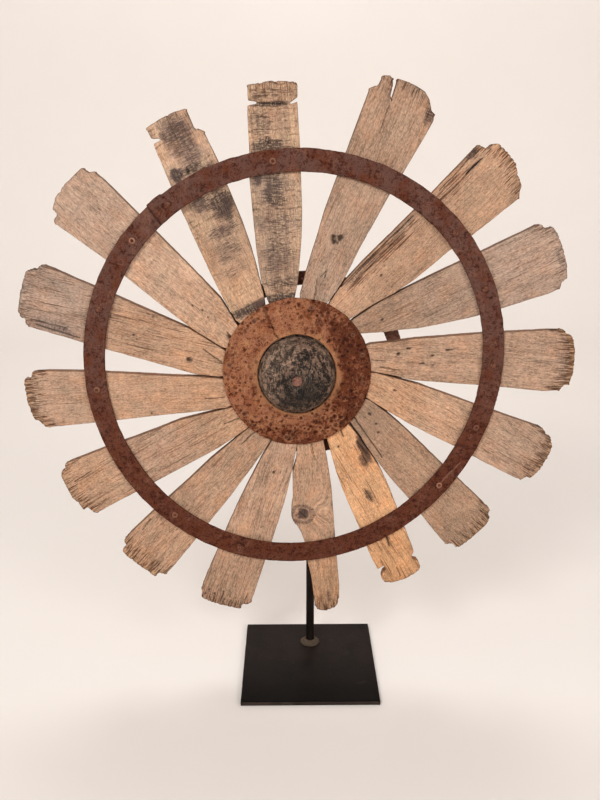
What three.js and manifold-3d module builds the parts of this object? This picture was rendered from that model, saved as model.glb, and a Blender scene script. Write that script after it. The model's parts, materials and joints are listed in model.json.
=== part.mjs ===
// An old wooden spinning-wheel drive wheel on a metal display stand.
// Sixteen flat wooden paddles sit in a groove of a turned nave. A lapped iron hoop is riveted across them, a
// dished iron plate covers their roots, and a smaller iron hoop is nailed on behind. The nave's axle turns in
// a sleeve that is welded to the side of the stand's post.
// Units are millimetres. +Z is up, the wheel faces -Y, and the origin is under the middle of the base plate.
import * as THREE from 'three';
import { mergeVertices } from 'three/addons/utils/BufferGeometryUtils.js';
import Module from 'manifold-3d';

const wasm = await Module();
wasm.setup();

// ---- Driving dimensions ----

const GAP = 0.3; // between pieces that touch

const BASE = { side: 150, thickness: 5, bevel: 0.6 };
const POST = { radius: 4.75, x: 1.8, y: 36.6, aboveAxle: 16, bevel: 0.8 };
const FOOT_WELD = { radius: 12, height: 5.5 };

// The wheel is drawn as seen from the front: x to the right, y up and z towards the viewer, from the axle.
const HUB = { x: -13.8, height: 352.4 };

const PADDLE_BACK = 5; // z of the paddles' rear faces
const PADDLE_THICKNESS = 10;
const PADDLE_FRONT = PADDLE_BACK + PADDLE_THICKNESS;
const PADDLE_ROOT_RADIUS = 31.5;
const PLATE_EDGE_RADIUS = 75; // inside it each paddle narrows towards the axle, hidden by the hub plate

const NAVE = {
  noseRadius: 38.6,
  noseFront: 48,
  grooveRadius: 30,
  flangeRadius: 62,
  flangeBack: -3,
  barrelRadius: 30,
  barrelBack: -10,
  bore: 5.3,
};

// The hoops and the plate are a little out of round: lobes holds [count, height, angle of the first one].
const RIM = {
  radius: 201.9,
  width: 21.5,
  thickness: 3,
  centre: [-3, 4.8],
  lobes: [[2, 2.8, 62], [3, 1.5, 30]],
  lapAngle: 131,
  lap: 7.5,
  ramp: 4.5,
  step: 2.5,
};
const BACK_HOOP = {
  radius: 89,
  width: 14,
  thickness: 3,
  centre: [13.3, 5.7],
  lobes: [],
  lapAngle: 17,
  lap: 12,
  ramp: 18,
  step: 6,
};
const HUB_PLATE = {
  radius: 75.8,
  holeRadius: 40.2,
  thickness: 1.8,
  rise: 5.5,
  centre: [0, 0],
  lobes: [[2, 0.9, 90]],
  lapAngle: 116,
  lap: 8,
  ramp: 12,
  step: 4,
};

const RIVET = { shank: 2, head: 3.6, headHeight: 1.3, tail: 3.2, tailHeight: 1.4 };
const NAIL = { shank: 1.2, head: 2.8, headHeight: 1.1, depth: 8 };
const HUB_NAIL_CIRCLE = 68.5;
const HUB_NAIL_ANGLES = [16.5, 35.5, 78, 128, 172, 218, 261, 351.5];
const HOOP_NAIL_ANGLES = [95, 185, 268, 330]; // about the back hoop's own centre
const LAP_RIVET_ANGLES = [126.6, 129.6];

const AXLE = { radius: 5, front: 51, back: -71, bevel: 1 };
const WASHER = { radius: 9, thickness: 2 };
const SLEEVE = { radius: 10.5, bore: 5.35, length: 48 };
const COTTER = { radius: 1.2, reach: 9, eye: 2.6, behindWasher: 3 };

// Each paddle, as seen looking outwards along it from the axle. angle is its direction in degrees, counted
// from the right and anticlockwise. left, tip and right are points of its outline, each [across, out from the
// axle]: left runs outwards, tip runs from left to right, and right runs back inwards. rivet is how far its
// rim rivet is from its middle line. One paddle is of a more orange wood than the rest.
const PADDLES = [
  {
    angle: 94.4,
    rivet: -6.5,
    left: [[-23, 75], [-27.5, 93.5], [-29.5, 123.5], [-30, 158.5], [-30, 193.5], [-28, 214.5], [-26.5, 248.5]],
    tip: [
      [-25.5, 257.5], [-15.5, 258.5], [-15.5, 260], [-25, 262], [-24, 274], [-2, 276], [20.5, 273.5],
      [21.5, 269.5], [21, 261], [12.5, 256.5], [12.5, 255], [20.5, 257.5],
    ],
    right: [[20, 215.5], [17.5, 158.5], [15, 133.5], [11, 108.5], [8, 90.5], [3.5, 75]],
  },
  {
    angle: 115.2,
    rivet: -5,
    left: [[-32, 75], [-33.5, 98.5], [-33.5, 128.5], [-31.5, 190.5], [-28.5, 238.5]],
    tip: [
      [-27, 256.5], [-19, 257], [-19, 258.5], [-26.5, 261.5], [-26.5, 271], [-10.5, 272.5], [2.5, 272.5],
      [14.5, 271], [13.5, 253.5],
    ],
    right: [
      [20.5, 245.5], [20.5, 215.5], [18.5, 193.5], [16.5, 158.5], [13, 128.5], [9, 108.5], [4.5, 86.5], [1, 75],
    ],
  },
  {
    angle: 140,
    rivet: 0,
    left: [[-28, 75], [-32, 104], [-33, 129], [-33, 191], [-32, 215], [-34.5, 259], [-35, 271]],
    tip: [
      [-33, 274], [-26.5, 275], [-25, 281], [-15, 285], [0, 285.5], [22.5, 282], [23.5, 274], [27.5, 271.5],
      [27.5, 261],
    ],
    right: [[22.5, 215], [16.5, 159], [13, 129], [10, 106], [4, 89], [-1, 75]],
  },
  {
    angle: 163.6,
    rivet: 8,
    left: [[-26.5, 75], [-30.5, 99.5], [-30.5, 191.5], [-29.5, 259.5]],
    tip: [
      [-29, 268.5], [-26.5, 271.5], [-22.5, 272.5], [-22.5, 277], [-16.5, 281], [3.5, 282.5], [23.5, 281],
      [28, 275.5], [29, 270.5], [32.5, 269.5], [34.5, 265.5],
    ],
    right: [[34, 257.5], [31, 239.5], [25, 193.5], [20, 159.5], [13.5, 114.5], [8, 96.5], [1.5, 75]],
  },
  {
    angle: 186,
    rivet: 5,
    left: [[-29.5, 75], [-30.5, 100], [-30.5, 150], [-31, 190], [-31, 258]],
    tip: [
      [-28.5, 264], [-22.5, 267.5], [-21.5, 271.5], [-13.5, 274.5], [1.5, 276], [16.5, 275.5], [22, 274],
      [22, 267.5], [28, 265.5], [29, 261],
    ],
    right: [[28.5, 250], [24, 214], [15.5, 160], [10.5, 130], [6.5, 100], [1.5, 75]],
  },
  {
    angle: 209,
    rivet: 7,
    left: [[-27.5, 75], [-29.5, 92.5], [-31.5, 110.5], [-31.5, 259.5]],
    tip: [
      [-29.5, 262.5], [-21.5, 265.5], [-21.5, 271], [-12, 271], [-4.5, 273.5], [8, 272], [20.5, 270.5],
      [25.5, 267], [26, 262], [30.5, 259.5],
    ],
    right: [[31, 254.5], [26, 214.5], [22.5, 191.5], [18, 160.5], [14.5, 130.5], [8, 105.5], [0, 75]],
  },
  {
    angle: 231.2,
    rivet: 4,
    left: [[-25, 75], [-28, 111], [-30, 151], [-31.5, 215], [-32, 263]],
    tip: [
      [-31.5, 267], [-24.5, 270.5], [-24, 276.5], [-2.5, 276], [15, 275], [22, 273], [22, 266], [27.5, 262],
    ],
    right: [[28.5, 257], [23.5, 216], [15.5, 161], [12, 131], [7.5, 106], [1.5, 75]],
  },
  {
    angle: 251.2,
    rivet: -3,
    left: [
      [-25.5, 75], [-29.5, 101.5], [-32.5, 126.5], [-34.5, 161.5], [-35.5, 213.5], [-36.5, 251.5],
      [-36.5, 264.5],
    ],
    tip: [
      [-33.5, 268.5], [-28, 270.5], [-27.5, 276.5], [-10.5, 278.5], [5.5, 278.5], [17, 276.5], [18.5, 269],
      [20.5, 265.5],
    ],
    right: [[20, 251.5], [17.5, 215.5], [16, 191.5], [13.5, 161.5], [10, 131.5], [6, 101.5], [1, 75]],
  },
  {
    angle: 276.5,
    rivet: 2,
    left: [[-19, 75], [-21, 101.5], [-22, 131.5], [-20, 188.5], [-18.5, 251.5], [-17, 260.5]],
    tip: [[-13.5, 269], [-9.5, 273], [-1, 275.5], [8, 273], [10.5, 267.5]],
    right: [
      [11, 231.5], [13, 212.5], [13.5, 188.5], [17.5, 171.5], [22.5, 162.5], [24, 156.5], [23, 148.5],
      [20, 136.5], [18.5, 121.5], [17, 106.5], [11.5, 93.5], [8, 75],
    ],
  },
  {
    angle: 296.4,
    rivet: 0,
    orange: true,
    left: [[-24, 75], [-27.5, 93.5], [-32, 128.5], [-31.5, 151.5], [-29, 181.5], [-25.5, 221.5], [-24, 237.5]],
    tip: [
      [-19, 241.5], [-19, 246], [-22.5, 248], [-23, 252.5], [-22, 256.5], [-18, 260.5], [-2.5, 262.5],
      [12.5, 260.5], [19.5, 256], [21, 249.5], [16.5, 244.5], [12, 243.5], [13, 238], [20.5, 239.5],
    ],
    right: [[20.5, 226.5], [19.5, 206.5], [17, 183.5], [14.5, 141.5], [11.5, 116.5], [7.5, 96.5], [3.5, 75]],
  },
  {
    angle: 317.2,
    rivet: -12,
    left: [[-29, 75], [-31.5, 101], [-32, 121], [-30, 181], [-29.5, 226], [-28.5, 251]],
    tip: [
      [-27, 255.5], [-22, 257], [-21, 262], [-13, 264], [6, 264], [22, 263], [27, 260], [27, 253], [32, 248.5],
    ],
    right: [[31.5, 241], [28.5, 221], [21.5, 183], [18, 151], [12.5, 121], [7.5, 101], [2.5, 75]],
  },
  {
    angle: 339,
    rivet: -12,
    left: [[-28, 75], [-30.5, 100.5], [-32.5, 120.5], [-33, 180.5], [-33.5, 204.5], [-34.5, 256]],
    tip: [
      [-32.5, 263.5], [-28.5, 266.5], [-28, 272], [-18.5, 278], [-6, 278.5], [9, 276.5], [19.5, 271.5],
      [20.5, 266], [25.5, 263],
    ],
    right: [[25.5, 256.5], [21.5, 220.5], [16, 182.5], [13, 150.5], [9, 120.5], [5, 100.5], [-0.5, 75]],
  },
  {
    angle: 2.3,
    rivet: 0,
    left: [[-26.5, 75], [-28, 100], [-30, 120], [-31, 150], [-32.5, 187], [-33, 260]],
    tip: [
      [-33, 265.5], [-31, 269.5], [-27, 271.5], [-25.5, 276.5], [-18, 279.5], [-0.5, 281], [14.5, 279.5],
      [25, 276.5], [25, 271], [31, 266.5],
    ],
    right: [[30.5, 250], [27, 225], [21.5, 187], [18.5, 160], [16, 140], [13, 115], [8, 100], [2, 75]],
  },
  {
    angle: 24.8,
    rivet: 0,
    left: [[-26.5, 75], [-30.5, 99.5], [-32.5, 129.5], [-33.5, 159.5], [-34.5, 213.5], [-35.5, 269.5]],
    tip: [
      [-33.5, 275], [-28.5, 277], [-27, 284], [-19, 286], [-4, 286], [13.5, 284], [25, 280], [26.5, 274],
      [31.5, 270],
    ],
    right: [
      [32, 259.5], [26.5, 214.5], [23.5, 190.5], [20.5, 174.5], [15, 149.5], [10, 129.5], [3.5, 111.5],
      [-1.5, 94.5], [-9.5, 75],
    ],
  },
  {
    angle: 44.4,
    rivet: 7,
    left: [[-29, 75], [-33.5, 99], [-35, 124], [-36, 214], [-37, 249], [-38, 271]],
    tip: [
      [-37, 275.5], [-30, 277.5], [-29.5, 284], [-25, 289], [-13, 290], [-0.5, 289], [7, 284.5], [18.5, 280],
      [21, 275], [26, 271],
    ],
    right: [[25, 259], [21, 214], [17, 193], [14, 149], [10, 126], [3, 101], [-2.5, 75]],
  },
  {
    angle: 68.3,
    rivet: 0,
    left: [[-26.5, 75], [-29, 93.5], [-32.5, 135.5], [-34.5, 158.5], [-36, 215.5], [-37, 274.5]],
    tip: [
      [-31, 280], [-30, 289], [-24.5, 291], [-20, 291], [-15.5, 273.5], [-14.5, 274], [-17.5, 291.5],
      [-2, 292.5], [10.5, 290.5], [17, 286], [20.5, 281], [23, 277.5], [28, 276], [29, 271],
    ],
    right: [
      [27.5, 258.5], [21, 214.5], [17.5, 194.5], [14.5, 168.5], [12, 148.5], [8.5, 108.5], [7, 98.5], [1.5, 75],
    ],
  },
];

// ---- Materials ----

const finish = (color, roughness, metalness) => new THREE.MeshStandardMaterial({ color, roughness, metalness });

const WOODS = [0xb99a78, 0xb08f6e, 0xc2a07a, 0xbf9a76, 0xb9926f];
const orangeWood = finish(0xd2a06a, 0.8, 0);
const weatheredWood = WOODS.map((color) => finish(color, 0.88, 0));
const naveWood = finish(0x4d453e, 0.75, 0);
const hoopIron = finish(0x5c3a30, 0.8, 0.35);
const plateIron = finish(0xa65f3a, 0.85, 0.3);
const fastenerIron = finish(0x4e3229, 0.75, 0.4);
const axleIron = finish(0xa07060, 0.6, 0.5);
const blackSteel = finish(0x241f1d, 0.45, 0.5);
const weldSteel = finish(0x4f443a, 0.55, 0.6);

// ---- Shared helpers ----

const radians = THREE.MathUtils.degToRad;

/** The solid of a closed geometry, ready for cutting. */
function toSolid(geometry) {
  const bare = geometry.clone();
  bare.deleteAttribute('normal');
  bare.deleteAttribute('uv');
  const merged = mergeVertices(bare, 1e-4);
  const vertProperties = new Float32Array(merged.attributes.position.array);
  const triVerts = new Uint32Array(merged.index.array);
  return new wasm.Manifold(new wasm.Mesh({ numProp: 3, vertProperties, triVerts }));
}

/** The geometry of a solid, flat shaded. */
function toGeometry(solid) {
  const { vertProperties, triVerts } = solid.getMesh();
  const indexed = new THREE.BufferGeometry();
  indexed.setAttribute('position', new THREE.BufferAttribute(new Float32Array(vertProperties), 3));
  indexed.setIndex(new THREE.BufferAttribute(new Uint32Array(triVerts), 1));
  const geometry = indexed.toNonIndexed();
  geometry.computeVertexNormals();
  return geometry;
}

/** The geometry with every cutter taken away from it. */
function cut(geometry, cutters) {
  let solid = toSolid(geometry);
  for (const cutter of cutters) {
    solid = solid.subtract(toSolid(cutter));
  }
  return toGeometry(solid);
}

/** A turned piece about z. profile holds [radius, z] points, from the front end of the axis to the rear. */
function turned(profile, segments) {
  const points = profile.map(([radius, z]) => new THREE.Vector2(radius, z)).reverse();
  const geometry = new THREE.LatheGeometry(points, segments);
  geometry.rotateX(Math.PI / 2);
  return geometry;
}

/** A turned piece with a bore through it: its profile is closed. */
function turnedRing(profile, segments) {
  return turned([...profile, profile[0]], segments);
}

/** A round pin along z at (x, y), used as a cutter or a plain shank. */
function pin(x, y, radius, rear, front, sides = 10) {
  const geometry = new THREE.CylinderGeometry(radius, radius, front - rear, sides);
  geometry.rotateX(Math.PI / 2);
  geometry.translate(x, y, (front + rear) / 2);
  return geometry;
}

/** A point of a paddle's own outline, in the wheel's frame. */
function onWheel(angle, across, out) {
  const turn = radians(angle);
  return [
    out * Math.cos(turn) + across * Math.sin(turn),
    out * Math.sin(turn) - across * Math.cos(turn),
  ];
}

/** A hoop's radius about its own centre, in the direction of an angle in degrees. */
function hoopRadius(hoop, angle) {
  let radius = hoop.radius;
  for (const [count, height, at] of hoop.lobes) {
    radius += height * Math.cos(count * radians(angle - at));
  }
  return radius;
}

/** A point on a hoop's middle line. */
function onHoop(hoop, angle) {
  const radius = hoopRadius(hoop, angle);
  const turn = radians(angle);
  return [hoop.centre[0] + radius * Math.cos(turn), hoop.centre[1] + radius * Math.sin(turn)];
}

/**
 * A strap bent into a ring whose last stretch rises and lies over its first. section holds [offset, z] points
 * anticlockwise, offset being measured outwards from the hoop's radius. lift is how far the lap rises.
 */
function lappedRing(hoop, section, lift) {
  const { centre, lapAngle, lap, ramp, step: stepAngle } = hoop;
  const first = lapAngle - lap;
  const steps = Math.round((360 + lap) / stepAngle);
  const positions = [];
  const index = [];
  for (let step = 0; step <= steps; step += 1) {
    const along = stepAngle * step;
    const rise = THREE.MathUtils.smoothstep(along, 360 - ramp, 360 - 1.5) * lift;
    const turn = radians(first + along);
    for (const [offset, z] of section) {
      const radius = hoopRadius(hoop, first + along) + offset;
      positions.push(centre[0] + radius * Math.cos(turn), centre[1] + radius * Math.sin(turn), z + rise);
    }
  }
  const sides = section.length;
  for (let step = 0; step < steps; step += 1) {
    for (let side = 0; side < sides; side += 1) {
      const here = step * sides + side;
      const beside = step * sides + ((side + 1) % sides);
      index.push(here, here + sides, beside, beside, here + sides, beside + sides);
    }
  }
  const last = steps * sides;
  const outline = section.map(([offset, z]) => new THREE.Vector2(offset, z));
  const caps = THREE.ShapeUtils.triangulateShape(outline, []);
  for (const [a, b, c] of caps) {
    index.push(a, b, c, last + a, last + c, last + b);
  }
  const geometry = new THREE.BufferGeometry();
  geometry.setAttribute('position', new THREE.Float32BufferAttribute(positions, 3));
  geometry.setIndex(index);
  return geometry;
}

/** A flat strap's section, anticlockwise, with z from rear to front. */
function strapSection(width, rear, front) {
  const half = width / 2;
  return [[-half, rear], [half, rear], [half, front], [-half, front]];
}

function named(name, geometry, material) {
  const mesh = new THREE.Mesh(geometry, material);
  mesh.name = name;
  return mesh;
}

const numbered = (name, number) => `${name}_${String(number).padStart(2, '0')}`;

// ---- The wheel's pieces ----

const rimBack = PADDLE_FRONT + GAP;
const rimFront = rimBack + RIM.thickness;
const hoopFront = PADDLE_BACK - GAP;
const hoopBack = hoopFront - BACK_HOOP.thickness;
const plateSlope = HUB_PLATE.rise / (HUB_PLATE.radius - HUB_PLATE.holeRadius);

/** z of the hub plate's front face at a radius. */
function plateFront(radius) {
  return PADDLE_FRONT + GAP + HUB_PLATE.thickness + (HUB_PLATE.radius - radius) * plateSlope;
}

/** Where each paddle's rim rivet goes: on the hoop's middle line, across the paddle as stated. */
const rimRivets = PADDLES.map(({ angle, rivet }) => {
  const turn = radians(angle);
  const towardsRim = RIM.centre[0] * Math.cos(turn) + RIM.centre[1] * Math.sin(turn);
  return onWheel(angle, rivet, hoopRadius(RIM, angle) + towardsRim);
});
const lapRivets = LAP_RIVET_ANGLES.map((angle) => onHoop(RIM, angle));
const hubNails = HUB_NAIL_ANGLES.map((angle) => onWheel(angle, 0, HUB_NAIL_CIRCLE));
const hoopNails = HOOP_NAIL_ANGLES.map((angle) => onHoop(BACK_HOOP, angle));
const hubNailSeat = plateFront(HUB_NAIL_CIRCLE - NAIL.head) + GAP;
const hoopNailSeat = hoopBack - GAP;

const rivetHoles = rimRivets.map(([x, y]) => pin(x, y, RIVET.shank + GAP, 0, 30));
const lapRivetHoles = lapRivets.map(([x, y]) => pin(x, y, RIVET.shank + GAP, 0, 30));
const hubNailHoles = hubNails.map(([x, y]) => {
  return pin(x, y, NAIL.shank + GAP, PADDLE_FRONT - NAIL.depth - GAP, 30);
});
const hoopNailHoles = hoopNails.map(([x, y]) => {
  return pin(x, y, NAIL.shank + GAP, -10, PADDLE_BACK + NAIL.depth + GAP);
});

/** A flat paddle, its root narrowing into the nave's groove, with holes for what fastens it. */
function paddleGeometry({ angle, left, tip, right }) {
  const inwards = PADDLE_ROOT_RADIUS / PLATE_EDGE_RADIUS;
  const rootLeft = [left[0][0] * inwards, PADDLE_ROOT_RADIUS];
  const rootRight = [right.at(-1)[0] * inwards, PADDLE_ROOT_RADIUS];
  const outline = [rootLeft, ...left, ...tip, ...right, rootRight];
  const shape = new THREE.Shape(outline.map(([across, out]) => new THREE.Vector2(across, out)));
  const blank = new THREE.ExtrudeGeometry(shape, { depth: PADDLE_THICKNESS, bevelEnabled: false });
  blank.translate(0, 0, PADDLE_BACK);
  blank.rotateZ(radians(angle - 90));
  return cut(blank, [...rivetHoles, ...hubNailHoles, ...hoopNailHoles]);
}

/** The turned nave: a blunt nose, a groove that holds the paddles' roots, a flange and a short rear barrel. */
function naveGeometry() {
  const { noseRadius, noseFront, grooveRadius, bore } = NAVE;
  const { flangeRadius, flangeBack, barrelRadius, barrelBack } = NAVE;
  const profile = [
    [bore, noseFront],
    [14, noseFront - 1.7],
    [24, noseFront - 4.8],
    [29.5, noseFront - 7.8],
    [33.8, noseFront - 12],
    [36.8, noseFront - 18],
    [noseRadius, noseFront - 25],
    [noseRadius, PADDLE_FRONT + GAP],
    [grooveRadius, PADDLE_FRONT + GAP],
    [grooveRadius, PADDLE_BACK - GAP],
    [flangeRadius, PADDLE_BACK - GAP],
    [flangeRadius, flangeBack],
    [barrelRadius, flangeBack],
    [barrelRadius, barrelBack],
    [bore, barrelBack],
  ];
  return turnedRing(profile, 40);
}

function hubPlateGeometry() {
  const { radius, holeRadius, thickness } = HUB_PLATE;
  const edge = plateFront(radius);
  const mouth = plateFront(holeRadius);
  const inner = holeRadius - radius;
  const section = [[inner, mouth - thickness], [0, edge - thickness], [0, edge], [inner, mouth]];
  const ring = lappedRing(HUB_PLATE, section, thickness + GAP);
  return cut(ring, hubNailHoles);
}

function rimGeometry() {
  const section = strapSection(RIM.width, rimBack, rimFront);
  const ring = lappedRing(RIM, section, RIM.thickness + GAP);
  return cut(ring, [...rivetHoles, ...lapRivetHoles]);
}

function backHoopGeometry() {
  const section = strapSection(BACK_HOOP.width, hoopBack, hoopFront);
  const ring = lappedRing(BACK_HOOP, section, -(BACK_HOOP.thickness + GAP));
  return cut(ring, hoopNailHoles);
}

/** A rivet from a domed head, whose seat is at front, to a hammered tail at rear. */
function rivetGeometry(rear, front) {
  const { shank, head, headHeight, tail, tailHeight } = RIVET;
  const profile = [
    [0, front + headHeight],
    [head * 0.7, front + headHeight * 0.7],
    [head, front],
    [shank, front],
    [shank, rear],
    [tail, rear],
    [tail * 0.8, rear - tailHeight],
    [0, rear - tailHeight],
  ];
  return turned(profile, 10);
}

/** A nail whose head seats at z = 0, pointing along -z. */
function nailGeometry(length) {
  const { shank, head, headHeight } = NAIL;
  const profile = [
    [0, headHeight],
    [head * 0.75, headHeight * 0.7],
    [head, 0],
    [shank, 0],
    [shank, -length + 2],
    [0, -length],
  ];
  return turned(profile, 10);
}

function axleGeometry(cottersZ) {
  const { radius, front, back, bevel } = AXLE;
  const profile = [
    [0, front],
    [radius * 0.6, front - 0.5],
    [radius, front - 2.4],
    [radius, back + bevel],
    [radius - bevel, back],
    [0, back],
  ];
  const crossHole = pin(0, 0, COTTER.radius + GAP, -20, 20);
  crossHole.rotateX(Math.PI / 2);
  crossHole.translate(0, 0, cottersZ);
  return cut(turned(profile, 24), [crossHole]);
}

function washerGeometry(rear) {
  const profile = [
    [NAVE.bore, rear + WASHER.thickness],
    [WASHER.radius, rear + WASHER.thickness],
    [WASHER.radius, rear],
    [NAVE.bore, rear],
  ];
  return turnedRing(profile, 20);
}

/** A split pin through the axle's rear end: one eye above and its legs bent aside below. */
function cotterGeometry() {
  const { radius, reach, eye } = COTTER;
  const loop = [];
  for (let turn = -60; turn <= 210; turn += 45) {
    const x = eye * Math.cos(radians(turn));
    const y = reach + eye + eye * Math.sin(radians(turn));
    loop.push(new THREE.Vector3(x, y, 0));
  }
  const route = [
    new THREE.Vector3(5, -reach - 2, 0),
    new THREE.Vector3(2, -reach, 0),
    new THREE.Vector3(0, -reach + 2, 0),
    new THREE.Vector3(0, 0, 0),
    new THREE.Vector3(0, reach - 2, 0),
    ...loop,
  ];
  const section = new THREE.Shape();
  section.absarc(0, 0, radius, 0, Math.PI * 2);
  return new THREE.ExtrudeGeometry(section, {
    steps: 40,
    curveSegments: 4,
    bevelEnabled: false,
    extrudePath: new THREE.CatmullRomCurve3(route),
  });
}

// ---- The wheel, from the front to the rear ----

const wheel = new THREE.Group();
wheel.position.set(HUB.x, 0, HUB.height);
wheel.rotation.x = Math.PI / 2;

wheel.add(named('nave', naveGeometry(), naveWood));

PADDLES.forEach((paddle, place) => {
  const material = paddle.orange ? orangeWood : weatheredWood[place % weatheredWood.length];
  wheel.add(named(numbered('paddle', place + 1), paddleGeometry(paddle), material));
});

wheel.add(named('rim_hoop', rimGeometry(), hoopIron));
rimRivets.forEach(([x, y], place) => {
  const rivet = named(numbered('rim_rivet', place + 1), rivetGeometry(hoopFront, rimFront + GAP), fastenerIron);
  rivet.position.set(x, y, 0);
  wheel.add(rivet);
});
lapRivets.forEach(([x, y], place) => {
  const lapFront = rimFront + GAP + RIM.thickness + GAP;
  const geometry = rivetGeometry(rimBack - GAP, lapFront);
  const rivet = named(numbered('rim_lap_rivet', place + 1), geometry, fastenerIron);
  rivet.position.set(x, y, 0);
  wheel.add(rivet);
});

wheel.add(named('hub_plate', hubPlateGeometry(), plateIron));
const hubNailLength = hubNailSeat - (PADDLE_FRONT - NAIL.depth);
hubNails.forEach(([x, y], place) => {
  const nail = named(numbered('hub_plate_nail', place + 1), nailGeometry(hubNailLength), fastenerIron);
  nail.position.set(x, y, hubNailSeat);
  wheel.add(nail);
});

wheel.add(named('back_hoop', backHoopGeometry(), hoopIron));
const hoopNailLength = PADDLE_BACK + NAIL.depth - hoopNailSeat;
hoopNails.forEach(([x, y], place) => {
  const nail = named(numbered('back_hoop_nail', place + 1), nailGeometry(hoopNailLength), fastenerIron);
  nail.position.set(x, y, hoopNailSeat);
  nail.rotation.y = Math.PI;
  wheel.add(nail);
});

const thrustWasherRear = NAVE.barrelBack - GAP - WASHER.thickness;
const sleeveFront = thrustWasherRear - GAP;
const sleeveRear = sleeveFront - SLEEVE.length;
const rearWasherRear = sleeveRear - GAP - WASHER.thickness;
const cottersZ = rearWasherRear - COTTER.behindWasher;
wheel.add(named('axle', axleGeometry(cottersZ), axleIron));
wheel.add(named('thrust_washer', washerGeometry(thrustWasherRear), fastenerIron));
wheel.add(named('rear_washer', washerGeometry(rearWasherRear), fastenerIron));
const cotter = named('cotter_pin', cotterGeometry(), axleIron);
cotter.position.z = cottersZ;
wheel.add(cotter);

// ---- The stand ----

const stand = new THREE.Group();

function basePlateGeometry() {
  const { side, thickness, bevel } = BASE;
  const half = side / 2 - bevel;
  const corners = [[-half, -half], [half, -half], [half, half], [-half, half]];
  const shape = new THREE.Shape(corners.map(([x, y]) => new THREE.Vector2(x, y)));
  const plate = new THREE.ExtrudeGeometry(shape, {
    depth: thickness - 2 * bevel,
    bevelThickness: bevel,
    bevelSize: bevel,
    bevelSegments: 1,
  });
  plate.translate(0, 0, bevel);
  return plate;
}

const postTop = HUB.height + POST.aboveAxle;
const postFoot = BASE.thickness + GAP;

function postGeometry() {
  const { radius, bevel } = POST;
  const profile = [
    [0, postTop],
    [radius - bevel, postTop],
    [radius, postTop - bevel],
    [radius, postFoot],
    [0, postFoot],
  ];
  return turned(profile, 24);
}

function footWeldGeometry() {
  const { radius, height } = FOOT_WELD;
  const inner = POST.radius + GAP;
  const profile = [
    [inner, postFoot + height],
    [inner + 1.6, postFoot + height * 0.85],
    [radius * 0.78, postFoot + height * 0.4],
    [radius, postFoot],
    [inner, postFoot],
  ];
  return turnedRing(profile, 24);
}

/** The sleeve that the axle turns in, along y through the axle line. */
function sleeveGeometry() {
  const { radius, bore } = SLEEVE;
  const profile = [
    [bore, sleeveFront],
    [radius, sleeveFront],
    [radius, sleeveRear],
    [bore, sleeveRear],
  ];
  const sleeve = turnedRing(profile, 28);
  sleeve.rotateX(Math.PI / 2);
  sleeve.translate(HUB.x, 0, HUB.height);
  return sleeve;
}

/** The bead round the place where the sleeve's side meets the post. */
function sleeveWeldGeometry() {
  const bead = new THREE.SphereGeometry(1, 20, 12);
  bead.scale(4.2, 8, 10);
  bead.translate(POST.x - POST.radius, POST.y, HUB.height);
  const postSpace = new THREE.CylinderGeometry(POST.radius + GAP, POST.radius + GAP, 60, 24);
  postSpace.rotateX(Math.PI / 2);
  postSpace.translate(POST.x, POST.y, HUB.height);
  const sleeveSpace = new THREE.CylinderGeometry(SLEEVE.radius + GAP, SLEEVE.radius + GAP, 80, 28);
  sleeveSpace.translate(HUB.x, POST.y, HUB.height);
  return cut(bead, [postSpace, sleeveSpace]);
}

stand.add(named('base_plate', basePlateGeometry(), blackSteel));
const post = named('post', postGeometry(), blackSteel);
const footWeld = named('foot_weld', footWeldGeometry(), weldSteel);
for (const piece of [post, footWeld]) {
  piece.position.set(POST.x, POST.y, 0);
  stand.add(piece);
}
stand.add(named('bearing_sleeve', sleeveGeometry(), blackSteel));
stand.add(named('sleeve_weld', sleeveWeldGeometry(), weldSteel));

const spinningWheel = new THREE.Group();
spinningWheel.add(stand, wheel);

export default spinningWheel;
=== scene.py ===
"""Looks for an old spinning-wheel drive wheel on its display stand.

Each CAD solid is remeshed into a fine even mesh, worn and marked in numpy, and given a node material. The
arrays that helpers pass round are in millimetres from the axle's line: x to the right, y to the rear, z up.
"""
import json
import math

import bpy
import numpy as np
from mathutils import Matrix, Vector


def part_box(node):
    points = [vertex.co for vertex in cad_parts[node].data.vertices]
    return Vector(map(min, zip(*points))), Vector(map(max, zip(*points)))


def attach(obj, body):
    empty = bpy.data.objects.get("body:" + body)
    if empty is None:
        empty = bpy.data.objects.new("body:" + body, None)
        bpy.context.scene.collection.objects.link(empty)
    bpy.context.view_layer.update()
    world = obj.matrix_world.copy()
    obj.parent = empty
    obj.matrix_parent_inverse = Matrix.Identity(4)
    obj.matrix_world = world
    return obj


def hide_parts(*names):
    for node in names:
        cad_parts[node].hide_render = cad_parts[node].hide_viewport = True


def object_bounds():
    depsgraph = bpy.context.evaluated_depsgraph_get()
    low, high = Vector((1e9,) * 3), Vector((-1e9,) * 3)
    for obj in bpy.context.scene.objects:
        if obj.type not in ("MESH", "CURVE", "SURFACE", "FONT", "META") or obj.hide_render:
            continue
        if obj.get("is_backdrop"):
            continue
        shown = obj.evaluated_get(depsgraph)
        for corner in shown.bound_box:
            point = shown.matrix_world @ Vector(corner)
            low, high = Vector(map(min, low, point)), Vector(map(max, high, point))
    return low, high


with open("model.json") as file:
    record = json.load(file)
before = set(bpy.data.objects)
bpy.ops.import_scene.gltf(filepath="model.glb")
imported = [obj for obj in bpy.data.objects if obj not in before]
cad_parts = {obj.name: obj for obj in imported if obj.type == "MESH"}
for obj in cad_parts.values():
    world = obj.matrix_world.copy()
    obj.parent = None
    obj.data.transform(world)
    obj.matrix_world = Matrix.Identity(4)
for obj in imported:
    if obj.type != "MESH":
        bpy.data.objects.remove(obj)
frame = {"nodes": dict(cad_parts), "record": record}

CAD_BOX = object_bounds()

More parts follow.
